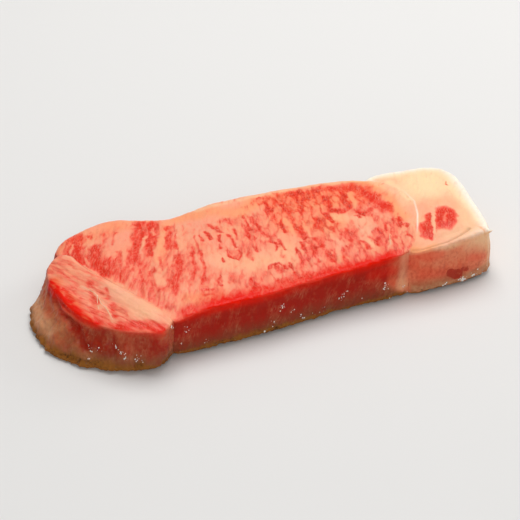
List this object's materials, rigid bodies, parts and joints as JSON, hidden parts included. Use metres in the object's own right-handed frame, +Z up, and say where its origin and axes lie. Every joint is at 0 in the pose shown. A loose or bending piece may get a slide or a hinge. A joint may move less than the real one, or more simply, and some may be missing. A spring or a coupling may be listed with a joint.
{
  "type": "marbled beef sirloin steak",
  "caption": "Thick-cut, richly marbled beef sirloin steak, raw on top and seared underneath, with a fat end, a tail behind a raised fat seam and a browned rim, lying flat.",
  "frame": {"origin": "under the middle of the steak's bounding box, on the plane that its seared face rests on", "axes": "+X along the steak towards its fat end, +Y across towards the rounded back edge, +Z up out of the raw cut face"},
  "size_m": [0.2238, 0.0982, 0.0265],
  "materials": {
    "marbled_meat": "moist raw beef: red lean finely broken by salmon and cream fat, cream at the fat end, browner and duller towards the seared foot",
    "seared_crust": "browned and slightly rough, with darker char specks and a thin film of fat",
    "rendered_fat": "small clear to whitish beads of melted fat, very glossy"
  },
  "bodies": {
    "root": {"steak": "marbled_meat"}
  },
  "joints": []
}
